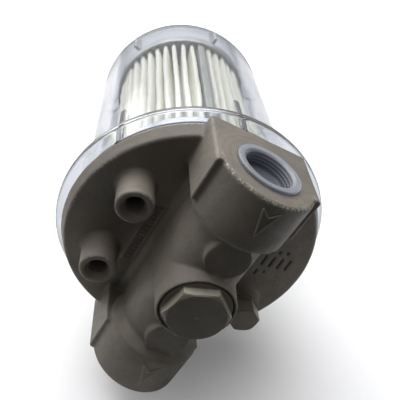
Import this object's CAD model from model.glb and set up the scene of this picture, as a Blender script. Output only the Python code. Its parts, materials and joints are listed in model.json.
# A liquid filter: a painted cast head over a clear bowl that holds a pleated element.
# The filter's axis is Z, with the bowl's floor at z = 0 and the head above it. The inlet port
# faces -X and the outlet port +X. For the picture it lies on its side, on a sheet whose upward
# normal is TABLE_UP. Sizes are in millimetres; meshes, shaders and the stage are in metres.
import json
import math
from contextlib import contextmanager

import bmesh
import bpy
import numpy as np
from mathutils import Matrix, Vector


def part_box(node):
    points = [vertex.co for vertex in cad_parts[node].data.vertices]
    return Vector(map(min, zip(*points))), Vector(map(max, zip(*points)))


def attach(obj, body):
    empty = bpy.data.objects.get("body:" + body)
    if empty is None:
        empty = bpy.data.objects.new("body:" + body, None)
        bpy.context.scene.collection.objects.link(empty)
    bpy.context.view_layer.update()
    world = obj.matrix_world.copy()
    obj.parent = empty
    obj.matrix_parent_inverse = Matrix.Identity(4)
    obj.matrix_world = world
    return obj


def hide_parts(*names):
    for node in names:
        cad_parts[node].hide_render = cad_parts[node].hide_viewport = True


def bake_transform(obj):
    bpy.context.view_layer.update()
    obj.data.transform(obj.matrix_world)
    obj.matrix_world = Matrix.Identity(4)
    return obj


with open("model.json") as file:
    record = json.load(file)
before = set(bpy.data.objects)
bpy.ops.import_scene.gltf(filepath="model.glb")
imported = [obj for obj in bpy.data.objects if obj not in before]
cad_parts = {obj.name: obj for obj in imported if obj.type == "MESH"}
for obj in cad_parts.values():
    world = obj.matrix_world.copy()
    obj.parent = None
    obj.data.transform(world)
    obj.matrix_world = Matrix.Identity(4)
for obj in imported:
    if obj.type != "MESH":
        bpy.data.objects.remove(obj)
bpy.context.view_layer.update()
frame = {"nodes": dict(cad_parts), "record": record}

MM = 0.001
RECORD = frame["record"]
NODES = frame["nodes"]
SLOT_OF = {part["node"]: part["material_slot"] for part in RECORD["subparts"]}


def mount(name):
    return next(m for m in RECORD["mounts"] if m["name"] == name)


# ------------------------------------------------------------ driving dimensions
BOWL_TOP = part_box("bowl")[1]
FLANGE_R = BOWL_TOP.x * 1000
DECK_Z = BOWL_TOP.z * 1000 + 0.4         # underside of the cover
COVER_Z = DECK_Z + 7.4                   # top face of the cover

INLET = mount("inlet_port")
PORT_Z = INLET["pos_m"][2] * 1000        # height of the port axis
PORT_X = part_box("head_casting")[1].x * 1000   # port face
PORT_R = INLET["dims"]["r_mm"]
BOSS_R = 23.2                            # outside of the port boss
PORT_THREAD_MID = abs(INLET["pos_m"][0]) * 1000
PORT_THREAD_HALF = INLET["dims"]["length_mm"] / 2
PORT_THREAD_START = PORT_THREAD_MID - PORT_THREAD_HALF + 0.4
PORT_THREAD_END = PORT_THREAD_MID + PORT_THREAD_HALF
PORT_THREAD_DEPTH = 1.16

HOLE_MOUNT = mount("mounting_holes")
HOLE_R = HOLE_MOUNT["dims"]["hole_r_mm"]
HOLE_TOP = HOLE_MOUNT["pos_m"][2] * 1000
HOLE_THREAD_START = HOLE_TOP - 14.2
HOLES = [(side * HOLE_MOUNT["dims"]["spacing_x_mm"] / 2, HOLE_MOUNT["pos_m"][1] * 1000)
         for side in (-1, 1)]

PLEATS = 47
SEAM_PLEAT = round(-167 / (360 / PLEATS))     # the pleat under the seam clip, near -167 degrees

# these turn a piece made about Z so that its axis runs out of a port
PORT_AXIS = Matrix.Translation((0, 0, PORT_Z * MM))
TO_OUTLET = PORT_AXIS @ Matrix.Rotation(math.radians(90), 4, "Y")
TO_INLET = PORT_AXIS @ Matrix.Rotation(math.radians(-90), 4, "Y")


# ------------------------------------------------------------ shader helpers
class Shader:
    """A node tree under construction. An input may be a number, a tuple or another socket."""

    def __init__(self, owner, output_kind):
        owner.use_nodes = True
        self.tree = owner.node_tree
        self.tree.nodes.clear()
        self.output = self.add(output_kind)

    def feed(self, socket, value):
        if isinstance(value, bpy.types.NodeSocket):
            self.tree.links.new(value, socket)
        elif socket.type == "RGBA":
            socket.default_value = (*value, 1.0)
        else:
            socket.default_value = value

    def add(self, kind, inputs=None, **settings):
        node = self.tree.nodes.new("ShaderNode" + kind)
        for key, value in settings.items():
            setattr(node, key, value)
        for key, value in (inputs or {}).items():
            self.feed(node.inputs[key], value)
        return node

    def shader(self, kind, **inputs):
        """A shading node; underscores in the argument names stand for spaces."""
        named = {key.replace("_", " "): value for key, value in inputs.items()}
        return self.add(kind, named).outputs[0]

    def show(self, shader):
        self.feed(self.output.inputs[0], shader)

    def coords(self):
        return self.add("TexCoord").outputs["Object"]

    def attribute(self, name):
        return self.add("Attribute", attribute_name=name).outputs["Fac"]

    def axes(self, vector):
        return self.add("SeparateXYZ", {0: vector}).outputs

    def stretch(self, vector, scale):
        return self.add("Mapping", {"Vector": vector, "Scale": scale}).outputs["Vector"]

    def noise(self, vector, scale, detail, roughness=0.55, distortion=0.0):
        node = self.add("TexNoise", {"Vector": vector, "Scale": scale, "Detail": detail,
                                     "Roughness": roughness, "Distortion": distortion})
        return node.outputs["Fac"]

    def remap(self, value, span, to=(0.0, 1.0)):
        """Maps span onto the range to, clamped at both ends."""
        node = self.add("MapRange", {"Value": value, "From Min": span[0], "From Max": span[1],
                                     "To Min": to[0], "To Max": to[1]}, clamp=True)
        return node.outputs["Result"]

    def mix(self, share, colour_a, colour_b):
        node = self.add("Mix", {0: share, 6: colour_a, 7: colour_b}, data_type="RGBA")
        return node.outputs[2]

    def mix_shader(self, share, shader_a, shader_b):
        return self.add("MixShader", {0: share, 1: shader_a, 2: shader_b}).outputs[0]

    def math(self, operation, *values):
        return self.add("Math", dict(enumerate(values)), operation=operation).outputs[0]

    def multiply(self, a, b):
        return self.math("MULTIPLY", a, b)

    def bump(self, height, distance, strength, under=None):
        inputs = {"Strength": strength, "Distance": distance, "Height": height}
        if under is not None:
            inputs["Normal"] = under
        return self.add("Bump", inputs).outputs["Normal"]


def new_material(name):
    material = bpy.data.materials.new(name)
    return material, Shader(material, "OutputMaterial")


def tint(colour, gain, lift=0.0):
    return tuple(c * gain + lift for c in colour)


# ------------------------------------------------------------ materials
def facing_marks(g, place, patches, under):
    """Fine circles about the port axis, left by facing the two port mouths."""
    x, y, z = g.axes(place)
    rise = g.math("SUBTRACT", z, PORT_Z * MM)
    squares = g.math("ADD", g.multiply(y, y), g.multiply(rise, rise))
    radius = g.math("SQRT", squares)
    waves = [g.math("SINE", g.multiply(radius, 2 * math.pi / pitch))
             for pitch in (0.00085, 0.0031)]
    on_face = g.math("GREATER_THAN", g.math("ABSOLUTE", x), (PORT_X - 0.12) * MM)
    amount = g.multiply(on_face, g.remap(patches, span=(0.35, 0.6), to=(0.25, 1.0)))
    height = g.multiply(g.math("ADD", *waves), amount)
    return g.bump(height, distance=0.00005, strength=0.8, under=under)


def paint_material(name, base, grain=1.0, wear=1.0, rough=0.56, rings=False):
    """Painted metal; the attributes wear, grime and bare place its chips, dirt and bare metal."""
    material, g = new_material(name)
    place = g.coords()
    pointiness = g.add("NewGeometry").outputs["Pointiness"]
    clouds = g.noise(place, scale=28.0, detail=3.0)
    mottle = g.noise(place, scale=190.0, detail=4.0)
    fine = g.noise(place, scale=1500.0, detail=3.0, roughness=0.6)
    pinholes = g.noise(place, scale=620.0, detail=2.0, roughness=0.5)
    colour = g.mix(g.remap(clouds, span=(0.35, 0.68)), tint(base, 0.80), tint(base, 1.18))
    colour = g.mix(g.remap(mottle, span=(0.42, 0.62), to=(0.0, 0.35)), colour, tint(base, 0.86))
    # pinholes of the casting show as darker specks, rubbed edges as paler lines
    colour = g.mix(g.remap(pinholes, span=(0.66, 0.74), to=(0.0, 0.5)), colour, tint(base, 0.5))
    edge = g.remap(pointiness, span=(0.535, 0.60), to=(0.0, 0.55 * wear))
    edge = g.multiply(edge, g.remap(mottle, span=(0.40, 0.60), to=(0.25, 1.0)))
    colour = g.mix(edge, colour, tint(base, 1.9, lift=0.04))
    # chips down to the primer, broken up at two scales
    flakes = g.noise(place, scale=900.0, detail=3.0, roughness=0.7)
    chip = g.multiply(g.attribute("wear"), g.remap(flakes, span=(0.50, 0.56)))
    gaps = g.noise(place, scale=75.0, detail=2.0)
    chip = g.multiply(chip, g.remap(gaps, span=(0.44, 0.56), to=(0.12, 1.0)))
    chip = g.multiply(chip, 0.85)
    colour = g.mix(chip, colour, (0.52, 0.505, 0.465))
    grime = g.multiply(g.attribute("grime"), g.remap(mottle, span=(0.3, 0.6), to=(0.75, 1.0)))
    colour = g.mix(grime, colour, tint(base, 0.26))
    bare = g.multiply(g.attribute("bare"), g.remap(mottle, span=(0.3, 0.62), to=(0.65, 1.0)))
    colour = g.mix(bare, colour, (0.36, 0.345, 0.285))
    crevice = g.remap(pointiness, span=(0.49, 0.42), to=(0.0, 0.45))
    colour = g.mix(crevice, colour, tint(base, 0.45))
    # worn places are smoother
    worn = g.math("MAXIMUM", edge, chip)
    roughness = g.remap(mottle, span=(0.3, 0.7), to=(rough - 0.06, rough + 0.10))
    roughness = g.math("ADD", roughness, g.multiply(worn, -0.12))
    normal = g.bump(fine, distance=0.00018 * grain, strength=0.8)
    normal = g.bump(mottle, distance=0.00060 * grain, strength=0.7, under=normal)
    normal = g.bump(clouds, distance=0.0012, strength=0.25, under=normal)
    if rings:
        normal = facing_marks(g, place, clouds, normal)
    g.show(g.shader("BsdfPrincipled", Base_Color=colour, Roughness=roughness, Normal=normal,
                    Specular_IOR_Level=0.42))
    return material


def metal_material(name, base, rough, stretch_z=1):
    """Bare metal; stretch_z squeezes the streaks along Z."""
    material, g = new_material(name)
    place = g.coords()
    streak = g.noise(g.stretch(place, (1, 1, stretch_z)), scale=300.0, detail=4.0, roughness=0.6)
    clouds = g.noise(place, scale=60.0, detail=3.0)
    colour = g.mix(g.remap(clouds, span=(0.3, 0.7)), tint(base, 0.86), tint(base, 1.06))
    colour = g.mix(g.remap(streak, span=(0.45, 0.7), to=(0.0, 0.4)), colour, tint(base, 0.7))
    g.show(g.shader("BsdfPrincipled", Base_Color=colour, Metallic=1.0,
                    Roughness=g.remap(streak, span=(0.3, 0.7), to=(rough - 0.06, rough + 0.14)),
                    Normal=g.bump(streak, distance=0.00005, strength=0.6)))
    return material


def rubber_material(name):
    base = (0.018, 0.018, 0.018)
    material, g = new_material(name)
    place = g.coords()
    bloom = g.noise(place, scale=240.0, detail=3.0)
    fine = g.noise(place, scale=1500.0, detail=2.0)
    g.show(g.shader("BsdfPrincipled",
                    Base_Color=g.mix(g.remap(bloom, span=(0.35, 0.65)), base, tint(base, 1.9)),
                    Roughness=g.remap(bloom, span=(0.3, 0.7), to=(0.45, 0.7)),
                    Normal=g.bump(fine, distance=0.00005, strength=0.6)))
    return material


def media_material(name):
    """Fibrous, cream-coloured filter medium."""
    material, g = new_material(name)
    place = g.coords()
    pointiness = g.add("NewGeometry").outputs["Pointiness"]
    fibre = g.noise(g.stretch(place, (1, 1, 0.35)), scale=900.0, detail=6.0, roughness=0.72,
                    distortion=0.6)
    felt = g.noise(place, scale=330.0, detail=5.0, roughness=0.62)
    clouds = g.noise(place, scale=22.0, detail=2.0)
    colour = g.mix(g.remap(felt, span=(0.35, 0.65)), (0.89, 0.885, 0.73), (0.95, 0.945, 0.83))
    colour = g.mix(g.remap(clouds, span=(0.35, 0.7), to=(0.0, 0.5)), colour, (0.90, 0.89, 0.70))
    # dust settles in the folds
    fold = g.remap(pointiness, span=(0.50, 0.44), to=(0.0, 0.22))
    colour = g.mix(fold, colour, (0.66, 0.64, 0.46))
    normal = g.bump(fibre, distance=0.00022, strength=0.8)
    normal = g.bump(felt, distance=0.0004, strength=0.5, under=normal)
    g.show(g.shader("BsdfPrincipled", Base_Color=colour, Roughness=0.9, Normal=normal,
                    Sheen_Weight=0.25, Sheen_Roughness=0.5, Specular_IOR_Level=0.2,
                    Subsurface_Weight=0.55, Subsurface_Radius=(1.0, 0.95, 0.7),
                    Subsurface_Scale=0.0045))
    return material


def clear_material(name):
    """Clear moulded plastic: faintly scuffed, dark where seen edge-on, open to shadow rays.

    The attribute fin marks the outer gussets, which read darker and less clear.
    """
    material, g = new_material(name)
    place = g.coords()
    ray = g.add("LightPath").outputs
    height = g.axes(place)["Z"]
    facing = g.add("LayerWeight", {"Blend": 0.5}).outputs["Facing"]
    fin = g.attribute("fin")
    scuffs = g.noise(g.stretch(place, (1, 1, 0.25)), scale=700.0, detail=5.0, roughness=0.7)
    clouds = g.noise(place, scale=35.0, detail=2.0)

    haze = g.remap(height, span=(0.060, 0.008), to=(0.0, 0.10))
    roughness = g.math("ADD", g.remap(clouds, span=(0.4, 0.7), to=(0.02, 0.055)),
                       g.remap(scuffs, span=(0.62, 0.72), to=(0.0, 0.10)))
    roughness = g.math("ADD", roughness, haze)
    colour = g.mix(g.remap(clouds, span=(0.3, 0.7)), (0.955, 0.965, 0.985), (0.93, 0.945, 0.975))
    graze = g.math("POWER", g.remap(facing, span=(0.60, 0.97)), 1.6)
    colour = g.mix(graze, colour, (0.30, 0.305, 0.345))
    colour = g.mix(g.remap(fin, span=(0.2, 0.8)), colour, (0.125, 0.125, 0.145))
    plastic = g.shader("BsdfPrincipled", Base_Color=colour, Roughness=roughness, IOR=1.49,
                       Normal=g.bump(clouds, distance=0.0006, strength=0.12),
                       Transmission_Weight=g.remap(fin, span=(0.2, 0.8), to=(1.0, 0.30)))

    # seen edge-on the wall turns the view back into itself and reads almost black
    rim = g.shader("BsdfDiffuse", Color=(0.060, 0.062, 0.075))
    seen = g.math("MAXIMUM", ray["Is Camera Ray"], g.multiply(ray["Is Transmission Ray"], 0.7))
    edge_on = g.multiply(g.remap(facing, span=(0.72, 0.93), to=(0.0, 0.86)), seen)
    # strongest on the domed end and on the flange, faint along the straight wall
    ends = g.math("MAXIMUM", g.remap(height, span=(0.046, 0.024), to=(0.20, 1.0)),
                  g.remap(height, span=(0.150, 0.158), to=(0.20, 0.70)))
    body = g.mix_shader(g.multiply(edge_on, ends), plastic, rim)
    # shadow and diffuse rays pass, so that the element inside is lit
    passing = g.math("MAXIMUM", ray["Is Shadow Ray"], ray["Is Diffuse Ray"])
    g.show(g.mix_shader(passing, body, g.shader("BsdfTransparent", Color=(0.965, 0.965, 0.965))))
    g.feed(g.output.inputs["Volume"],
           g.shader("VolumeAbsorption", Density=22.0, Color=(0.46, 0.48, 0.50)))
    return material


def cap_material(name):
    """Soft translucent plastic: milky, and see-through where the attribute thin is high."""
    material, g = new_material(name)
    place = g.coords()
    shadow_ray = g.add("LightPath").outputs["Is Shadow Ray"]
    clouds = g.noise(place, scale=120.0, detail=3.0)
    fine = g.noise(place, scale=900.0, detail=3.0)
    colour = g.mix(g.remap(clouds, span=(0.35, 0.65)), (0.46, 0.48, 0.54), (0.56, 0.575, 0.64))
    plastic = g.shader("BsdfPrincipled", Base_Color=colour, IOR=1.50, Transmission_Weight=0.62,
                       Roughness=g.remap(fine, span=(0.3, 0.7), to=(0.26, 0.42)),
                       Normal=g.bump(fine, distance=0.00006, strength=0.6))
    thin = g.remap(g.attribute("thin"), span=(0.0, 1.0), to=(0.0, 0.60))
    g.show(g.mix_shader(g.math("MAXIMUM", shadow_ray, thin), plastic,
                        g.shader("BsdfTransparent", Color=(0.70, 0.72, 0.80))))
    return material


PAINT = (0.174, 0.155, 0.127)
MATERIALS = {
    "head_paint": paint_material("head_paint", PAINT, rings=True),
    "plug_paint": paint_material("plug_paint", (0.176, 0.156, 0.122), grain=0.45, wear=0.9,
                                 rough=0.46),
    "seal_rubber": rubber_material("seal_rubber"),
    "seal_oversprayed": paint_material("seal_oversprayed", tint(PAINT, 0.85), grain=0.5,
                                       rough=0.62),
    "spring_steel": metal_material("spring_steel", (0.58, 0.58, 0.60), rough=0.24),
    "valve_brass": metal_material("valve_brass", (0.72, 0.55, 0.27), rough=0.26, stretch_z=14),
    "washer_copper": metal_material("washer_copper", (0.72, 0.38, 0.22), rough=0.34),
    "cap_plastic": cap_material("cap_plastic"),
    "nipple_aluminium": metal_material("nipple_aluminium", (0.72, 0.72, 0.72), rough=0.30,
                                       stretch_z=14),
    "bowl_clear": clear_material("bowl_clear"),
    "media": media_material("media"),
    "cap_steel": metal_material("cap_steel", (0.50, 0.51, 0.52), rough=0.36),
    "clip_steel": metal_material("clip_steel", (0.40, 0.41, 0.38), rough=0.48, stretch_z=14),
}


# ------------------------------------------------------------ mesh helpers
@contextmanager
def editing(mesh):
    bm = bmesh.new()
    bm.from_mesh(mesh)
    yield bm
    bm.to_mesh(mesh)
    bm.free()
    mesh.update()


def add_object(name, data):
    ob = bpy.data.objects.new(name, data)
    bpy.context.scene.collection.objects.link(ob)
    return ob


def mesh_object(name, verts, faces, turn=Matrix()):
    """An object from vertices in metres, moved by turn, with its faces turned outwards."""
    mesh = bpy.data.meshes.new(name)
    mesh.from_pydata([tuple(turn @ Vector(v)) for v in verts], [], [tuple(f) for f in faces])
    mesh.validate()
    with editing(mesh) as bm:
        bmesh.ops.recalc_face_normals(bm, faces=bm.faces)
    return add_object(name, mesh)


def finish_piece(ob, slot, body, replaced=None, crease=None):
    """Edges sharper than crease degrees stay crisp."""
    mesh = ob.data
    mesh.materials.clear()
    mesh.materials.append(MATERIALS[slot])
    mesh.polygons.foreach_set("use_smooth", [True] * len(mesh.polygons))
    if crease is not None:
        limit = math.radians(crease)
        with editing(mesh) as bm:
            for edge in bm.edges:
                sharp = len(edge.link_faces) == 2 and edge.calc_face_angle(0.0) > limit
                edge.smooth = not sharp
    mesh.update()
    if body is not None:
        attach(ob, body)
    if replaced is not None:
        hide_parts(replaced)


def piece(name, verts, faces, slot, body, replaced=None, crease=None, turn=Matrix()):
    ob = mesh_object(name, verts, faces, turn)
    finish_piece(ob, slot, body, replaced, crease)
    return ob


def set_attribute(ob, name, values):
    attribute = ob.data.attributes.new(name, "FLOAT", "POINT")
    attribute.data.foreach_set("value", np.asarray(values, dtype=np.float32))


def vertex_axes(ob):
    """The x, y and z of all vertices, in millimetres."""
    flat = np.empty(len(ob.data.vertices) * 3, dtype=np.float32)
    ob.data.vertices.foreach_get("co", flat)
    return (flat.reshape(-1, 3) * 1000.0).T


def near(*bands):
    """1 where every value sits on its centre, falling off smoothly over its width."""
    return np.exp(-sum(((value - centre) / width) ** 2 for value, centre, width in bands))


def rectangle(x0, x1, y0, y1, fillet):
    return [(x0, y0, fillet), (x1, y0, fillet), (x1, y1, fillet), (x0, y1, fillet)]


def round_loop(corners, steps=5, base=0.0):
    """Rounds a closed loop of (x, y above base, fillet radius) corners; returns (x, y)."""
    points = [np.array((x, y + base), float) for x, y, _ in corners]
    out = []
    for i, (_, _, fillet) in enumerate(corners):
        corner = points[i]
        if fillet <= 0:
            out.append(tuple(corner))
            continue
        back = points[i - 1] - corner
        ahead = points[(i + 1) % len(points)] - corner
        back_length, ahead_length = np.linalg.norm(back), np.linalg.norm(ahead)
        back, ahead = back / back_length, ahead / ahead_length
        half = math.acos(back @ ahead) / 2
        # a fillet takes at most about half of either side
        setback = min(fillet / math.tan(half), back_length * 0.49, ahead_length * 0.49)
        radius = setback * math.tan(half)
        bisector = (back + ahead) / np.linalg.norm(back + ahead)
        centre = corner + bisector * (radius / math.sin(half))
        start = corner + back * setback - centre
        end = corner + ahead * setback - centre
        angle = math.atan2(start[1], start[0])
        sweep = math.atan2(end[1], end[0]) - angle
        sweep = (sweep + math.pi) % (2 * math.pi) - math.pi
        for step in range(steps + 1):
            a = angle + sweep * step / steps
            out.append((centre[0] + radius * math.cos(a), centre[1] + radius * math.sin(a)))
    return out


def revolve(loop, segments):
    """Turns a closed loop of (radius, z) about Z. A point on the axis becomes one vertex."""
    verts, rings, faces = [], [], []
    for radius, z in loop:
        first = len(verts)
        if radius < 1e-6:
            verts.append((0.0, 0.0, z * MM))
            rings.append([first] * segments)
            continue
        for s in range(segments):
            a = 2 * math.pi * s / segments
            verts.append((radius * MM * math.cos(a), radius * MM * math.sin(a), z * MM))
        rings.append(list(range(first, first + segments)))
    for i, ring in enumerate(rings):
        following = rings[(i + 1) % len(rings)]
        if ring[0] == ring[1] and following[0] == following[1]:
            continue
        for s in range(segments):
            t = (s + 1) % segments
            # at the axis the repeated vertex drops out and leaves a triangle
            faces.append(list(dict.fromkeys([ring[s], ring[t], following[t], following[s]])))
    return verts, faces


def turned(name, corners, slot, body, replaced, segments=192, base=0.0, turn=Matrix()):
    """A turned piece from (radius, height above base, fillet) corners."""
    verts, faces = revolve(round_loop(corners, base=base), segments)
    return piece(name, verts, faces, slot, body, replaced, 34.0, turn)


def grid_faces(rows, columns, closed=False, first=0):
    """Quads between rows of vertices. Each row is a ring; closed joins the last row to the first."""
    faces = []
    for i in range(rows if closed else rows - 1):
        here = first + i * columns
        there = first + (i + 1) % rows * columns
        for j in range(columns):
            k = (j + 1) % columns
            faces.append([here + j, there + j, there + k, here + k])
    return faces


def copy_node(name):
    """A welded copy of a CAD node."""
    ob = add_object(name + "_copy", NODES[name].data.copy())
    with editing(ob.data) as bm:
        bmesh.ops.remove_doubles(bm, verts=bm.verts, dist=2e-6)
        bmesh.ops.recalc_face_normals(bm, faces=bm.faces)
    return ob


def bake(ob, name=None):
    """Replaces the object's mesh with the result of its modifiers."""
    bpy.context.view_layer.update()
    depsgraph = bpy.context.evaluated_depsgraph_get()
    mesh = bpy.data.meshes.new_from_object(ob.evaluated_get(depsgraph))
    ob.modifiers.clear()
    old = ob.data
    ob.data = mesh
    bpy.data.meshes.remove(old)
    if name:
        ob.name = name
        mesh.name = name


def boolean(ob, other, operation):
    """Cuts or joins other into ob, and removes other."""
    modifier = ob.modifiers.new("boolean", "BOOLEAN")
    modifier.operation = operation
    modifier.solver = "EXACT"
    modifier.object = other
    bake(ob)
    mesh = other.data
    bpy.data.objects.remove(other)
    bpy.data.meshes.remove(mesh)


def soften(ob, voxel, smooth_steps, name):
    """Rounds every edge evenly by remeshing at the voxel size and smoothing."""
    remesh = ob.modifiers.new("remesh", "REMESH")
    remesh.mode = "VOXEL"
    remesh.voxel_size = voxel * MM
    smooth = ob.modifiers.new("smooth", "SMOOTH")
    smooth.factor = 0.5
    smooth.iterations = smooth_steps
    bake(ob, name)


def softened_node(node_name, new_name, voxel, body):
    ob = copy_node(node_name)
    soften(ob, voxel, 2, new_name)
    finish_piece(ob, SLOT_OF[node_name], body, node_name)
    return ob


# ------------------------------------------------------------ head casting
def bore(ob, radius, start, end, turn):
    """Cuts a round hole from start to end along the turned Z axis."""
    loop = [(0, start), (radius, start), (radius, end), (0, end)]
    boolean(ob, mesh_object("bore", *revolve(loop, 96), turn), "DIFFERENCE")


def at_hole(x, y):
    return Matrix.Translation((x * MM, y * MM, 0))


def keep_side(ob, cut_z, upper):
    """Cuts the mesh at cut_z, keeps one side and closes the cut."""
    with editing(ob.data) as bm:
        cut = bmesh.ops.bisect_plane(
            bm, geom=bm.verts[:] + bm.edges[:] + bm.faces[:], dist=1e-7,
            plane_co=(0, 0, cut_z * MM), plane_no=(0, 0, 1),
            clear_outer=not upper, clear_inner=upper)
        edges = [e for e in cut["geom_cut"] if isinstance(e, bmesh.types.BMEdge)]
        bmesh.ops.triangle_fill(bm, use_beauty=True, use_dissolve=False, edges=edges)
        bmesh.ops.recalc_face_normals(bm, faces=bm.faces)


def sunk_dirt(x, y, z):
    """Dirt settled in the sunk bars and dashes of the cover."""
    # centre x, centre y, length of each bar; all are tilted by 3 degrees
    bars = [(-7.4 - 0.7 * i, 37.6 + 4.4 * i, 7.4) for i in range(4)]
    bars += [(-13.9 - 1.15 * i, 38.3 + 4.1 * i, 2.2) for i in range(3)]
    bars += [(1.3 - 1.7 * i, 37.9 + 4.1 * i, 4.2 - 2 * i) for i in range(2)]
    cos_tilt, sin_tilt = math.cos(math.radians(3)), math.sin(math.radians(3))
    dirt = np.zeros(len(x))
    for bar_x, bar_y, length in bars:
        dx, dy = x - bar_x, y - bar_y
        along = dx * cos_tilt + dy * sin_tilt
        across = -dx * sin_tilt + dy * cos_tilt
        inside = (np.clip((length / 2 + 0.2 - np.abs(along)) / 0.5, 0, 1)
                  * np.clip((1.05 - np.abs(across)) / 0.45, 0, 1))
        dirt = np.maximum(dirt, inside * (np.abs(z - (DECK_Z + 7.2)) < 1.2))
    return dirt


def weather_head(ob):
    """Marks where handling has chipped the paint, where dirt lies and where metal shows."""
    x, y, z = vertex_axes(ob)
    port_radius = np.hypot(y, z - PORT_Z)
    radius = np.hypot(x, y)
    out = np.abs(x)
    boss_mouths = near((port_radius, 22.6, 0.9), (out, PORT_X - 0.7, 0.9)) * (z > PORT_Z + 2)
    block_corners = near((np.abs(y), 24.4, 0.7), (out, PORT_X - 0.6, 0.7)) * 0.25
    top_rim = near((radius, 17.3, 0.6), (z, DECK_Z + 50.4, 0.5)) * 0.75
    cover_rim = near((radius, 61.6, 0.8), (z, DECK_Z + 7.1, 0.6)) * 0.55 * (x < 10) * (y < 10)
    wear = np.maximum.reduce([boss_mouths, block_corners, top_rim, cover_rim])
    for hole_x, hole_y in HOLES:
        hole_radius = np.hypot(x - hole_x, y - hole_y)
        wear = np.maximum(wear, near((hole_radius, 8.2, 0.6), (z, HOLE_TOP + 2.9, 0.6)) * 0.6)
    set_attribute(ob, "wear", np.clip(wear, 0, 1))
    set_attribute(ob, "grime", sunk_dirt(x, y, z))
    set_attribute(ob, "bare", near((radius, 17.3, 0.5), (z, DECK_Z + 50.5, 0.45)) * 0.6)


def build_head():
    casting = copy_node("head_casting")
    spigot = add_object("head_spigot", casting.data.copy())
    cut_z = DECK_Z - 0.3
    keep_side(casting, cut_z, upper=True)
    keep_side(spigot, cut_z, upper=False)

    # room for the thread sleeves
    for turn in (TO_OUTLET, TO_INLET):
        bore(casting, PORT_R + PORT_THREAD_DEPTH, PORT_THREAD_START, PORT_THREAD_END + 0.5, turn)
    for x, y in HOLES:
        bore(casting, HOLE_R + 0.78, HOLE_THREAD_START, HOLE_TOP - 0.9, at_hole(x, y))

    # every edge of the cast part is softened the way a sand casting's are
    soften(casting, 0.56, 3, "head_casting_skin")
    weather_head(casting)
    finish_piece(casting, "head_paint", "head", "head_casting")

    # the machined spigot below keeps its crisp edges
    bevel = spigot.modifiers.new("bevel", "BEVEL")
    bevel.width = 0.25 * MM
    bevel.segments = 2
    bevel.limit_method = "ANGLE"
    bevel.angle_limit = math.radians(38)
    bake(spigot, "head_spigot")
    finish_piece(spigot, "head_paint", "head", crease=30.0)


build_head()


# ------------------------------------------------------------ raised marks on the head
def boss_surface(y, lift):
    return math.sqrt((BOSS_R + lift) ** 2 - y * y) + PORT_Z


def cover_surface(y, lift):
    return COVER_Z + lift


def raised_line(name, path, surface, height, skirt, root, step, across):
    """A rounded line, 1 mm wide, along a closed (x, y) path on a surface.

    Its two edges sink by skirt and its keel by root; across is the number of spans over it.
    """
    half_width = 0.50
    points = []
    for i, corner in enumerate(path):
        start = np.array(corner, float)
        end = np.array(path[(i + 1) % len(path)], float)
        pieces = max(2, int(np.linalg.norm(end - start) / step))
        points += [start + (end - start) * j / pieces for j in range(pieces)]
    count = len(points)
    verts = []
    for i, point in enumerate(points):
        tangent = points[(i + 1) % count] - points[i - 1]
        tangent = tangent / (np.linalg.norm(tangent) + 1e-12)
        sideways = np.array([-tangent[1], tangent[0]])
        for j in range(across + 1):
            u = -1 + 2 * j / across
            x, y = point + sideways * half_width * u
            lift = height * math.sqrt(max(0.0, 1 - abs(u) ** 3))
            if abs(u) > 0.999:
                lift -= skirt
            verts.append((x * MM, y * MM, surface(y, lift) * MM))
        x, y = point
        verts.append((x * MM, y * MM, surface(y, -root) * MM))
    faces = grid_faces(count, across + 2, closed=True)
    return piece(name, verts, faces, "head_paint", "head", crease=50.0)


def arrow_path(tail_x):
    """An arrowhead that points along +X, notched at its tail."""
    return [(tail_x + 0.55, 3.85), (tail_x + 13.6, 0.0), (tail_x + 0.55, -3.85),
            (tail_x + 3.75, 0.0)]


for name, tail_x in (("inlet_flow_arrow", -60.2), ("outlet_flow_arrow", 42.6)):
    arrow = raised_line(name, arrow_path(tail_x), boss_surface, height=0.50, skirt=0.25,
                        root=0.9, step=0.5, across=10)
    set_attribute(arrow, "bare", np.full(len(arrow.data.vertices), 0.30))

raised_line("blank_label_frame", round_loop(rectangle(-15.6, 21.6, -27.5, -21.9, fillet=1.2)),
            cover_surface, height=0.55, skirt=0.3, root=0.8, step=0.6, across=8)


def build_label_ticks():
    """A row of low rounded pads inside the label frame."""
    levels, around = 8, 20
    count, first_x, pitch, centre_y = 14, -12.9, 2.42, -24.7
    width, height, sunk = 1.05, 0.5, 0.5
    verts, faces = [], []
    for tick in range(count):
        first = len(verts)
        centre_x = first_x + pitch * tick
        length = 3.9 - 0.5 * (tick % 3 == 1)
        for i in range(levels + 1):
            t = math.pi / 2 * i / levels
            shrink = 0.42 * (1 - math.cos(t))
            z = COVER_Z - sunk + (height + sunk) * math.sin(t)
            for j in range(around):
                a = 2 * math.pi * j / around
                cos_a, sin_a = math.cos(a), math.sin(a)
                # a rounded rectangle that shrinks towards the top
                x = math.copysign(abs(cos_a) ** 0.45, cos_a) * width / 2 * (1 - shrink)
                y = (math.copysign(abs(sin_a) ** 0.45, sin_a) * length / 2
                     * (1 - shrink * width / length))
                verts.append(((centre_x + x) * MM, (centre_y + y) * MM, z * MM))
        faces += grid_faces(levels + 1, around, first=first)
        faces.append(list(range(first, first + around))[::-1])
        faces.append(list(range(len(verts) - around, len(verts))))
    piece("blank_label_ticks", verts, faces, "head_paint", "head", crease=50.0)


build_label_ticks()


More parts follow.
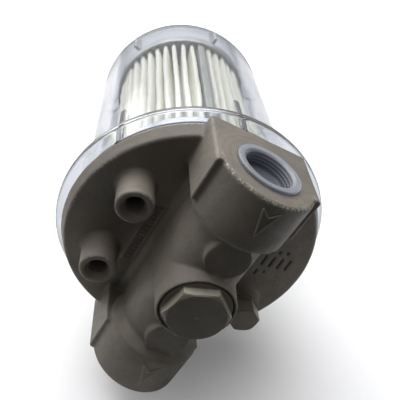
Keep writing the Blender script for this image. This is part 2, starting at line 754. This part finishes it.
# ------------------------------------------------------------ threads in ports and mounting holes
def thread_sleeve(name, crest_r, root_r, outer_r, start, end, pitch, turn, segments):
    """A closed sleeve from start to end whose inner wall is a helical thread."""
    rows = int((end - start) / (pitch / 8)) + 1
    verts = []

    def ring(z, radius_at):
        for s in range(segments):
            a = 2 * math.pi * s / segments
            radius = radius_at(s)
            verts.append((radius * MM * math.cos(a), radius * MM * math.sin(a), z * MM))

    for z in np.linspace(start, end, rows):
        def thread_radius(s):
            phase = ((z / pitch) - s / segments) % 1.0
            ramp = 1 - abs(2 * phase - 1)
            # flats at crest and root
            depth = min(1.0, max(0.0, (ramp - 0.12) / 0.76))
            return crest_r + (root_r - crest_r) * depth
        ring(z, thread_radius)
    for z in (start, end):
        ring(z, lambda s: outer_r)

    faces = grid_faces(rows, segments)
    last = (rows - 1) * segments
    low, high = rows * segments, (rows + 1) * segments
    for s in range(segments):
        t = (s + 1) % segments
        faces.append([s, t, low + t, low + s])
        faces.append([last + s, last + t, high + t, high + s])
        faces.append([low + s, low + t, high + t, high + s])
    piece(name, verts, faces, "head_paint", "head", crease=30.0, turn=turn)


for name, turn in (("inlet_thread", TO_INLET), ("outlet_thread", TO_OUTLET)):
    thread_sleeve(name, PORT_R, PORT_R + PORT_THREAD_DEPTH, PORT_R + 1.6, PORT_THREAD_START,
                  PORT_THREAD_END, pitch=1.81, turn=turn, segments=96)
for i, (x, y) in enumerate(HOLES):
    thread_sleeve(f"mounting_thread_{i + 1}", HOLE_R, HOLE_R + 0.8, HOLE_R + 1.2,
                  HOLE_THREAD_START, HOLE_TOP - 0.5, pitch=1.5, turn=at_hole(x, y), segments=48)


# ------------------------------------------------------------ bowl
WALL = 3.5
CORNER_R = 24.0                       # outside of the curve between floor and wall
CORNER_Z = 27.0                       # height at which that curve meets the wall
WALL_LOW = (53.8, CORNER_Z)           # outside of the wall: radius, z
WALL_HIGH = (56.5, DECK_Z - 14.5)
BORE_LOW = (WALL_LOW[0] - WALL, CORNER_Z)   # inside of the wall
BORE_HIGH = (53.0, DECK_Z - 20)
DISH_ANGLE = math.radians(11.5)       # slope at which the dished floor meets the curve

# radius, height above DECK_Z, fillet
BOWL_FLANGE = [
    (BORE_HIGH[0], -20, 0), (53.0, -0.4, 1.1), (61.0, -0.4, 0.8), (61.0, -5.8, 0.9),
    (FLANGE_R, -5.8, 1.3), (FLANGE_R, -9.6, 1.3), (57.2, -9.6, 1.6), (WALL_HIGH[0], -14.5, 0),
]
GUSSET = [
    (54.4, -8.2, 0), (61.0, -8.2, 0), (59.4, -11.8, 1.0), (58.3, -42.4, 1.5),
    (57.5, -45, 1.0), (55.6, -46.8, 0.5), (54.4, -47, 0),
]
# radius, z, fillet
CENTRING_RIB = [
    (45.4, 14.5, 0), (45.9, 12.2, 0), (51.3, 21, 0), (51.8, 34.5, 0), (47, 33.2, 1.0),
    (45.4, 30, 1.0),
]


def taper(z, low, high):
    """The radius at z on the line between two (radius, z) points."""
    return low[0] + (high[0] - low[0]) * (z - low[1]) / (high[1] - low[1])


def bowl_section():
    """The closed (radius, z) outline of the wall, from the inner floor round to the outer pole."""
    centre_r = WALL_LOW[0] - CORNER_R
    sweep = math.pi / 2 - DISH_ANGLE
    loop = [(0, 5), (18.0, 5), (19.8, 4.62)]
    for i in range(1, 25):
        a = -math.pi / 2 + DISH_ANGLE + sweep * i / 24
        loop.append((centre_r + (CORNER_R - WALL) * math.cos(a),
                     CORNER_Z + (CORNER_R - WALL) * math.sin(a)))
    for z in np.linspace(CORNER_Z, BORE_HIGH[1], 14)[1:]:
        loop.append((taper(z, BORE_LOW, BORE_HIGH), z))
    loop += round_loop(BOWL_FLANGE, steps=6, base=DECK_Z)[1:]
    for z in np.linspace(WALL_HIGH[1], CORNER_Z, 14)[1:-1]:
        loop.append((taper(z, WALL_LOW, WALL_HIGH), z))
    for i in range(25):
        a = -sweep * i / 24
        loop.append((centre_r + CORNER_R * math.cos(a), CORNER_Z + CORNER_R * math.sin(a)))
    # the dished floor is the arc through the pole and the end of the corner curve
    end_r = centre_r + CORNER_R * math.sin(DISH_ANGLE)
    end_z = CORNER_Z - CORNER_R * math.cos(DISH_ANGLE)
    dish_r = (end_r * end_r + end_z * end_z) / (2 * end_z)
    for i in range(7, 0, -1):
        a = DISH_ANGLE * i / 8
        loop.append((dish_r * math.sin(a), dish_r * (1 - math.cos(a))))
    loop.append((0, 0))
    return loop


def gusset_half_width(radius, z):
    """Drafted towards the outer edge and run out to a point at the lower end."""
    draft = 1 - 0.10 * max(0.0, radius - 56) / 3
    run_out = min(1.0, max(0.12, (z - (DECK_Z - 47.2)) / 6.5)) ** 0.6
    return 1.2 * (draft * run_out)


def rib_half_width(radius, z):
    return 0.9


def radial_fin(outline, half_width, degrees):
    """A flat fin with a (radius, z) outline, standing in a radial plane."""
    n = len(outline)
    verts = [(x * MM, y * MM, side * half_width(x, y) * MM)
             for side in (-1, 1) for x, y in outline]
    faces = [list(range(n))[::-1], list(range(n, 2 * n))]
    faces += [[i, (i + 1) % n, n + (i + 1) % n, n + i] for i in range(n)]
    turn = (Matrix.Rotation(math.radians(degrees), 4, "Z")
            @ Matrix.Rotation(math.radians(90), 4, "X"))
    ob = mesh_object("fin", verts, faces, turn)
    with editing(ob.data) as bm:
        bmesh.ops.triangulate(bm, faces=bm.faces)
    return ob


def build_bowl():
    bowl = mesh_object("bowl_skin", *revolve(bowl_section(), 216))
    gusset = round_loop(GUSSET, base=DECK_Z)
    rib = round_loop(CENTRING_RIB, steps=4)
    for i in range(6):
        for outline, half_width in ((gusset, gusset_half_width), (rib, rib_half_width)):
            boolean(bowl, radial_fin(outline, half_width, 2.8 + 60 * i), "UNION")
    x, y, z = vertex_axes(bowl)
    outside = np.hypot(x, y) > taper(z, WALL_LOW, WALL_HIGH) + 0.25
    set_attribute(bowl, "fin", outside & (z < DECK_Z - 10.4) & (z > CORNER_Z))
    finish_piece(bowl, "bowl_clear", "bowl", "bowl", 32.0)


build_bowl()


# ------------------------------------------------------------ filter element
def build_pleats():
    """The pleated sheet, as one closed shell whose folds wander a little in the open span."""
    low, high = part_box("pleated_media")
    z0, z1 = low.z * 1000 + 0.02, high.z * 1000 - 0.02
    rows = 56
    tip_r, root_r, thickness = 42.85, 24.05, 0.78
    half_sheet = thickness / 2
    tip_depth = 0.55                      # depth of a rounded tip over its half width
    root_bend = 0.4 + half_sheet
    root_half_angle = root_bend / root_r
    root_shoulder = root_r + half_sheet + 0.4
    glue_reach = 13.0                     # height over which the end caps pinch the folds

    rng = np.random.default_rng(7)
    angle_shift = rng.normal(0, 0.0085, PLEATS)
    radius_shift = rng.uniform(-0.9, 0.0, PLEATS)
    phase = rng.uniform(0, 2 * math.pi, (PLEATS, 3))
    sway = rng.uniform(0.2, 0.75, (PLEATS, 3))
    # the pleat under the seam clip stays straight
    angle_shift[SEAM_PLEAT] = 0
    sway[SEAM_PLEAT] = 0

    def tip(k, height):
        """Angle and radius of the tip of pleat k at a fraction of the height."""
        freedom = math.sin(math.pi * height) ** 0.5 if 0 < height < 1 else 0.0
        # share of the sway and waves over the height, for each of three waves
        shift = sum(share * sway[k, i] * math.sin(2 * math.pi * waves * height + phase[k, i])
                    for i, (share, waves) in enumerate(((1, 1.1), (0.5, 2.7), (0.25, 6.5))))
        ripple = 0.12 * freedom * (1 + math.sin(9 * height + phase[k, 1]))
        return (2 * math.pi / PLEATS * k + (angle_shift[k] + shift / 42.0 * 0.55) * freedom,
                tip_r + radius_shift[k] * freedom - ripple)

    def flank(start, end):
        return [(start[0] + (end[0] - start[0]) * q / 4, start[1] + (end[1] - start[1]) * q / 4)
                for q in range(1, 4)]

    def middle_line(height):
        """Points (radius, angle) along the middle of the sheet, once round."""
        free = min(1.0, max(0.0, min(height, 1 - height) * (z1 - z0) / glue_reach))
        free = free * free * (3 - 2 * free)
        bend = (1.3 - half_sheet) * (0.42 + 0.58 * free)
        tips = [tip(k, height) for k in range(PLEATS)]
        fold = [math.pi / 2 - math.pi * q / 6 for q in range(7)]
        line = []
        for k, (angle, radius) in enumerate(tips):
            next_angle, next_radius = tips[(k + 1) % PLEATS]
            if k == PLEATS - 1:
                next_angle += 2 * math.pi
            valley = (angle + next_angle) / 2
            radius -= 1.1 * (1 - free)
            line += [(radius - half_sheet - bend * (1 - math.cos(b)) * tip_depth,
                      angle - bend * math.sin(b) / radius) for b in fold]
            line += flank((radius - half_sheet - bend * tip_depth, angle + bend / radius),
                          (root_shoulder, valley - root_half_angle))
            line += [(root_r + half_sheet + root_bend * (1 - math.cos(b)) * 0.5,
                      valley - root_half_angle * math.sin(b)) for b in fold]
            line += flank((root_shoulder, valley + root_half_angle),
                          (next_radius - half_sheet - bend * tip_depth,
                           next_angle - bend / next_radius))
        return np.array([(r * math.cos(a), r * math.sin(a)) for r, a in line])

    verts = []
    for row, z in enumerate(np.linspace(z0, z1, rows)):
        middle = middle_line(row / (rows - 1))
        tangent = np.roll(middle, -1, 0) - np.roll(middle, 1, 0)
        tangent /= np.linalg.norm(tangent, axis=1)[:, None] + 1e-12
        # the line runs counter-clockwise, so this normal points outwards
        normal = np.stack([tangent[:, 1], -tangent[:, 0]], 1)
        for side in (1, -1):
            skin = middle + side * normal * thickness / 2
            radius = np.linalg.norm(skin, axis=1)
            skin *= (np.clip(radius, 24.0, 42.88) / radius)[:, None]
            verts += [(x * MM, y * MM, z * MM) for x, y in skin]

    count = len(middle)
    width = 2 * count
    top = (rows - 1) * width
    faces = []
    for i in range(rows - 1):
        outer, outer_up = i * width, (i + 1) * width
        inner, inner_up = outer + count, outer_up + count
        for s in range(count):
            t = (s + 1) % count
            faces.append([outer + s, outer + t, outer_up + t, outer_up + s])
            faces.append([inner + s, inner_up + s, inner_up + t, inner + t])
    for s in range(count):
        t = (s + 1) % count
        faces.append([s, count + s, count + t, t])
        faces.append([top + s, top + t, top + count + t, top + count + s])
    piece("pleated_sheet", verts, faces, "media", "element", "pleated_media", 62.0)


build_pleats()

ELEMENT_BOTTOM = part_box("element_bottom_cap")[0].z * 1000
ELEMENT_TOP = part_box("element_top_cap")[1].z * 1000
CAP_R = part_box("element_top_cap")[1].x * 1000
CAP_INNER_R = CAP_R - 0.9

# Corner tables of all turned pieces: radius, height above the base, fillet
turned("element_upper_cap", [
    (16.05, -1.2, 0.2), (19, -1.2, 0.4), (19, -7, 0.3), (20.2, -7, 0.3), (20.2, -2, 0.6),
    (CAP_INNER_R, -2, 0.6), (CAP_INNER_R, -9, 0.3), (CAP_R, -9, 0.3), (CAP_R, 0, 1.4),
    (40.5, 0, 0.9), (39.2, -0.7, 0.9), (24, -0.7, 0.9), (22.8, 0, 0.9), (16.05, 0, 0.2),
], "cap_steel", "element", "element_top_cap", base=ELEMENT_TOP)
turned("element_lower_cap", [
    (0, 0, 0), (15, 0, 0.9), (16.2, 0.8, 0.9), (38.5, 0.8, 0.9), (39.7, 0, 0.9),
    (CAP_R, 0, 1.4), (CAP_R, 8, 0.3), (CAP_INNER_R, 8, 0.3), (CAP_INNER_R, 2, 0.6),
    (20.2, 2, 0.6), (20.2, 6, 0.3), (19, 6, 0.3), (19, 1.6, 0.4), (0, 1.6, 0),
], "cap_steel", "element", "element_bottom_cap", base=ELEMENT_BOTTOM)


def build_seam_clip():
    """A folded channel over one pleat, crimped at intervals."""
    low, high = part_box("seam_clip")
    z0, z1 = low.z * 1000, high.z * 1000
    rows, crimp_pitch = 160, 13.0
    # radius, sideways, fillet
    profile = round_loop([
        (37.5, -2.1, 0.2), (43.5, -2.1, 0.45), (43.5, 2.1, 0.45), (37.5, 2.1, 0.2),
        (37.5, 1.46, 0.2), (42.96, 1.46, 0.12), (42.96, -1.46, 0.12), (37.5, -1.46, 0.2),
    ], steps=4)
    n = len(profile)
    verts = []
    for i in range(rows):
        z = z0 + (z1 - z0) * i / (rows - 1)
        crimp = max(0.0, math.cos(2 * math.pi * (z - z0) / crimp_pitch)) ** 8
        for x, y in profile:
            squeeze = 0.14 * crimp if abs(y) > 1.5 and x < 42.5 else 0
            dent = 0.10 * crimp if x > 43 else 0
            verts.append(((x - dent) * MM, y * (1 - squeeze) * MM, z * MM))
    faces = grid_faces(rows, n)
    faces.append(list(range(n))[::-1])
    faces.append([(rows - 1) * n + j for j in range(n)])
    turn = Matrix.Rotation(math.radians(SEAM_PLEAT * 360 / PLEATS), 4, "Z")
    piece("seam_channel", verts, faces, "clip_steel", "element", "seam_clip", 40.0, turn)


build_seam_clip()


# ------------------------------------------------------------ springs
def coil(name, node_name, coil_r, wire_r, turns, segments):
    """A compression spring filling a node's height; ends are the bodies it stretches between."""
    low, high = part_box(node_name)
    z0, z1 = low.z * 1000, high.z * 1000
    steps, around = int(turns * segments), 14
    inset = wire_r * 0.55                 # the clamp at z0 and z1 grinds the end coils flat
    end = 0.9 / turns                     # share of the wire in each end coil
    verts = []
    for i in range(steps + 1):
        t = i / steps
        a = 2 * math.pi * turns * t
        # closed end coils with a smooth run into the open pitch
        if t < end:
            rise = (t / end) ** 2 * end * 0.5
        elif t > 1 - end:
            rise = 1 - ((1 - t) / end) ** 2 * end * 0.5
        else:
            rise = end * 0.5 + (t - end) * (1 - end) / (1 - 2 * end)
        centre_z = z0 + inset + (z1 - z0 - 2 * inset) * rise
        for j in range(around):
            b = 2 * math.pi * j / around
            z = min(max(centre_z + wire_r * math.sin(b), z0), z1)
            radius = coil_r + wire_r * math.cos(b)
            verts.append((radius * MM * math.cos(a), radius * MM * math.sin(a), z * MM))
    faces = grid_faces(steps + 1, around)
    faces.append(list(range(around)))
    faces.append([steps * around + j for j in range(around)][::-1])
    ob = piece(name, verts, faces, "spring_steel", None, node_name, 60.0)
    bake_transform(ob)


coil("bypass_coil", "bypass_spring",
     coil_r=6.6, wire_r=0.6, turns=5.5, segments=40)
coil("hold_down_coil", "hold_down_spring",
     coil_r=12.6, wire_r=1.1, turns=3.5, segments=56)
turned("spring_dish", [
    (0, 5.05, 0), (17, 5.05, 0.9), (17, 7.6, 0.4), (16, 7.6, 0.4), (16, 6.15, 0.5),
    (11, 6.15, 0.5), (9.7, 9, 0.9), (0, 9, 0),
], "cap_steel", "spring_plate", "spring_plate")


# ------------------------------------------------------------ port caps
LIP_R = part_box("outlet_cap")[1].y * 1000
# radius, distance beyond the port face, fillet; the inner wall steps down in shallow ledges
PORT_CAP = [
    (0, -7.4, 0), (12.4, -7.4, 0.9), (13.22, -6.3, 0.6), (13.22, 0, 0.15), (LIP_R, 0, 0.5),
    (LIP_R, 1.5, 0.6), (12.4, 1.5, 0.7), (11.3, 0.5, 0.25), (11.25, -0.7, 0.1),
    (10.95, -0.9, 0.1), (10.9, -2.1, 0.1), (10.6, -2.3, 0.1), (10.55, -3.5, 0.1),
    (10.25, -3.7, 0.1), (10.1, -5.9, 0.9), (2.2, -5.9, 0.3), (1.6, -5.2, 0.4), (0, -5.2, 0),
]


def build_port_cap(name, node_name, turn):
    verts, faces = revolve(round_loop(PORT_CAP, base=PORT_X), 160)
    along = np.array(verts)[:, 2] * 1000
    ob = piece(name, verts, faces, "cap_plastic", node_name, node_name, 34.0, turn)
    # the cup inside the port is thin, the lip outside it thick
    set_attribute(ob, "thin", np.clip((PORT_X + 0.2 - along) / 1.6, 0, 1))


build_port_cap("outlet_port_cap", "outlet_cap", TO_OUTLET)
build_port_cap("inlet_port_cap", "inlet_cap", TO_INLET)


# ------------------------------------------------------------ hexagon plug and vent screw
def about_own_axis(ob, node_name):
    """Vertex x and y from the node's centre, vertex z, and the node's top."""
    low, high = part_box(node_name)
    x, y, z = vertex_axes(ob)
    return x - (low.x + high.x) * 500, y - (low.y + high.y) * 500, z, high.z * 1000


def wear_top_edge(ob, radius, z, top):
    edge = near((z, top - 1.0, 0.35)) * (radius > radius.max() * 0.86) * 0.45
    set_attribute(ob, "wear", np.clip(edge, 0, 1))


plug = softened_node("bypass_plug", "bypass_plug_skin", 0.2, "plug")
screw = softened_node("vent_screw", "vent_screw_skin", 0.17,
                      "vent_screw")

# a spanner has rubbed one pair of flats brighter than the rest, and the centre mark shows metal
x, y, z, top = about_own_axis(plug, "bypass_plug")
radius = np.hypot(x, y)
flat_pair = np.round((np.degrees(np.arctan2(y, x)) - 19) / 60).astype(int) % 3
on_flats = (z < top - 1.0) & (z > top - 4.7)
bare = np.where(on_flats, np.where(flat_pair == 0, 1.0, 0.42), 0.0)
set_attribute(plug, "bare", np.maximum(bare, (radius < 0.9) * (z > top - 1.2) * 0.7))
wear_top_edge(plug, radius, z, top)

x, y, z, top = about_own_axis(screw, "vent_screw")
set_attribute(screw, "bare", np.where((z < top - 1.1) & (z > top - 7.0), 0.28, 0.0))
wear_top_edge(screw, np.hypot(x, y), z, top)


# ------------------------------------------------------------ small turned and moulded pieces
turned("plug_seal_ring", rectangle(13.2, 14.9, 0, 0.9, fillet=0.25),
       "seal_oversprayed", "plug_seal", "bypass_plug_seal", segments=128,
       base=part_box("bypass_plug_seal")[0].z * 1000)
turned("valve_seat_ring", [
    (6.5, -4, 0.3), (11, -4, 0.2), (11, -0.6, 0.1), (10.4, 0, 0.1), (6.5, 0, 0.3),
], "valve_brass", "head", "bypass_seat", segments=128, base=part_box("bypass_seat")[1].z * 1000)

washer_lo, washer_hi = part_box("vent_washer")
turned("vent_sealing_washer",
       rectangle(5.2, 7.9, washer_lo.z * 1000, washer_hi.z * 1000, fillet=0.2),
       "washer_copper", "vent_washer", "vent_washer", segments=96,
       turn=Matrix.Translation(((washer_lo.x + washer_hi.x) / 2,
                                (washer_lo.y + washer_hi.y) / 2, 0)))

NIPPLE_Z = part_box("outlet_nipple")[0].z * 1000
turned("nipple_tube", [
    (8, NIPPLE_Z, 0.4), (11.6, NIPPLE_Z, 0.3), (12.5, NIPPLE_Z + 2, 0.8),
    (12.5, DECK_Z - 17.6, 0.2), (14, DECK_Z - 17.6, 0.3), (14, DECK_Z - 16, 0.2),
    (10, DECK_Z - 16, 0.1), (10, DECK_Z - 6, 0.3), (8, DECK_Z - 6, 0.3),
], "nipple_aluminium", "head", "outlet_nipple", segments=128)

RING_R, RING_WIRE_R, RING_STEPS = 51.58, 1.35, 28
RING_ANGLES = [2 * math.pi * k / RING_STEPS for k in range(RING_STEPS)]
turned("bowl_seal_ring",
       [(RING_R + RING_WIRE_R * math.cos(a), DECK_Z - 12.5 + RING_WIRE_R * math.sin(a), 0)
        for a in RING_ANGLES],
       "seal_rubber", "head", "bowl_o_ring", segments=216)

softened_node("bypass_poppet", "bypass_valve_skin", 0.15, "poppet")

turned("element_gland", [
    (12.55, -7, 0.6), (16.4, -7, 0.3), (17.4, -6, 0.3), (17.4, -1.2, 0.2), (16, -1.2, 0.1),
    (16, 0, 0.1), (17.4, 0, 0.2), (17.4, 1.6, 0.3), (16.4, 2.4, 0.3), (12.55, 2.4, 0.6),
], "seal_rubber", "element", "element_grommet", segments=144, base=ELEMENT_TOP)

tube = copy_node("core_tube")
tube.name = "support_tube"
finish_piece(tube, "cap_steel", "element", "core_tube", 30.0)


# ------------------------------------------------------------ stage
CAMERA_PLACE = Vector((-0.15802367, -0.09826798, 0.39467721))
# the camera's right, up and backward directions
CAMERA_AXES = Matrix((
    (-0.48714402, 0.87127693, 0.05972617),
    (-0.71850434, -0.36097234, -0.59451699),
    (-0.49642944, -0.33252891, 0.80186179),
))
TABLE_UP = Vector((-0.864, -0.503, 0.0)).normalized()
TABLE_DROP = 0.0688                      # from the filter's axis down to the sheet


def floor_material():
    """A pale sheet, shown only to the main camera so it never hides the part from other sides."""
    material, g = new_material("floor")
    ray = g.add("LightPath").outputs
    geometry = g.add("NewGeometry").outputs
    # distance by which the viewing ray misses the main camera
    offset = g.add("VectorMath", {0: geometry["Position"], 1: CAMERA_PLACE},
                   operation="SUBTRACT").outputs[0]
    across = g.add("VectorMath", {0: offset, 1: geometry["Incoming"]},
                   operation="CROSS_PRODUCT").outputs[0]
    miss = g.add("VectorMath", {0: across}, operation="LENGTH").outputs["Value"]
    other_camera = g.multiply(g.math("GREATER_THAN", miss, 0.004), ray["Is Camera Ray"])
    # except to the camera, the sheet ends a little way past the head, so that it throws
    # little light back on the faces turned that way
    beyond = g.math("GREATER_THAN", g.axes(geometry["Position"])["Z"], 0.27)
    beyond = g.multiply(beyond, g.math("SUBTRACT", 1.0, ray["Is Camera Ray"]))
    hidden = g.math("MAXIMUM", other_camera, ray["Is Shadow Ray"])
    hidden = g.math("MAXIMUM", hidden, beyond)

    clouds = g.noise(g.coords(), scale=7.0, detail=3.0)
    colour = g.mix(g.remap(clouds, span=(0.3, 0.7)), (0.86, 0.86, 0.875), (0.885, 0.885, 0.895))
    # seen through the clear bowl the sheet reads a shade cooler and deeper
    colour = g.mix(ray["Is Transmission Ray"], colour, (0.60, 0.61, 0.645))
    # a little light comes up through the sheet, which keeps the shadow from going black
    sheet = g.shader("BsdfPrincipled", Base_Color=colour, Roughness=0.75,
                     Specular_IOR_Level=0.1, Emission_Color=(1.0, 1.0, 1.0),
                     Emission_Strength=g.multiply(ray["Is Camera Ray"], 0.12))
    g.show(g.mix_shader(hidden, sheet, g.shader("BsdfTransparent")))
    return material


def build_floor():
    half_size = 3.0
    centre = -TABLE_UP * TABLE_DROP + Vector((0, 0, 0.12))
    along = Vector((0, 0, 1))
    across = TABLE_UP.cross(along).normalized()
    corners = [tuple(centre + along * i * half_size + across * j * half_size)
               for i, j in ((-1, -1), (1, -1), (1, 1), (-1, 1))]
    mesh = bpy.data.meshes.new("floor")
    mesh.from_pydata(corners, [], [(0, 1, 2, 3)])
    floor = add_object("floor", mesh)
    mesh.materials.append(floor_material())


build_floor()


# ------------------------------------------------------------ lights and world
def softbox(name, offset, size, power, mirror):
    """A square diffuser aimed at the filter's middle; mirror is its share in reflections."""
    middle = Vector((0, 0, 0.15))
    data = bpy.data.lights.new(name, "AREA")
    data.shape = "SQUARE"
    data.size = size
    data.energy = power
    # brightest in the middle, so that no hard-edged window shows in the clear bowl
    g = Shader(data, "OutputLight")
    place = g.axes(g.add("NewGeometry").outputs["Parametric"])
    glossy_ray = g.add("LightPath").outputs["Is Glossy Ray"]
    squares = []
    for axis in "XY":
        from_centre = g.multiply(g.math("SUBTRACT", place[axis], 0.5), 2.0)
        squares.append(g.multiply(from_centre, from_centre))
    falloff = g.remap(g.math("ADD", *squares), span=(0.0, 1.0), to=(1.6, 0.0))
    dimming = g.math("SUBTRACT", 1.0, g.multiply(glossy_ray, 1.0 - mirror))
    g.show(g.shader("Emission", Strength=g.multiply(falloff, dimming)))

    light = add_object(name, data)
    light.location = middle + offset
    light.rotation_mode = "QUATERNION"
    light.rotation_quaternion = (middle - light.location).to_track_quat("-Z", "Y")


softbox("top_softbox", TABLE_UP * 0.85 + Vector((0, 0, -0.42)), size=1.7, power=22.5, mirror=0.2)
softbox("back_softbox", TABLE_UP * 0.30 + Vector((0.25, -0.45, -0.65)), size=0.6, power=3.0,
        mirror=0.12)


def build_world():
    """White to the camera; otherwise a soft glow from above the sheet, towards the bowl end."""
    world = bpy.data.worlds.new("studio")
    bpy.context.scene.world = world
    g = Shader(world, "OutputWorld")
    camera_ray = g.add("LightPath").outputs["Is Camera Ray"]
    glow_direction = (TABLE_UP * 0.80 + Vector((0, 0, -0.60))).normalized()
    towards_glow = g.add("VectorMath", {0: g.add("TexCoord").outputs["Generated"],
                                        1: glow_direction}, operation="DOT_PRODUCT")
    glow = g.remap(towards_glow.outputs["Value"], span=(-0.1, 0.95), to=(0.060, 0.62))
    strength = g.add("Mix", {0: camera_ray, 2: glow, 3: 1.0}, data_type="FLOAT").outputs[0]
    g.show(g.shader("Background", Color=(0.985, 0.99, 1.0), Strength=strength))


build_world()


# ------------------------------------------------------------ camera and render settings
camera_data = bpy.data.cameras.new("camera")
camera_data.sensor_width = 36.0
camera_data.lens = 51.671
camera_data.clip_start = 0.01
camera_data.clip_end = 20
camera = add_object("camera", camera_data)
camera.matrix_world = Matrix.Translation(CAMERA_PLACE) @ CAMERA_AXES.transposed().to_4x4()

scene = bpy.context.scene
scene.camera = camera
scene.view_settings.view_transform = "Standard"
scene.view_settings.look = "None"
scene.view_settings.exposure = 0.0
scene.cycles.use_denoising = True
scene.cycles.max_bounces = 16
scene.cycles.transmission_bounces = 12
scene.cycles.transparent_max_bounces = 16
scene.cycles.glossy_bounces = 6
scene.cycles.caustics_reflective = False
scene.cycles.caustics_refractive = False
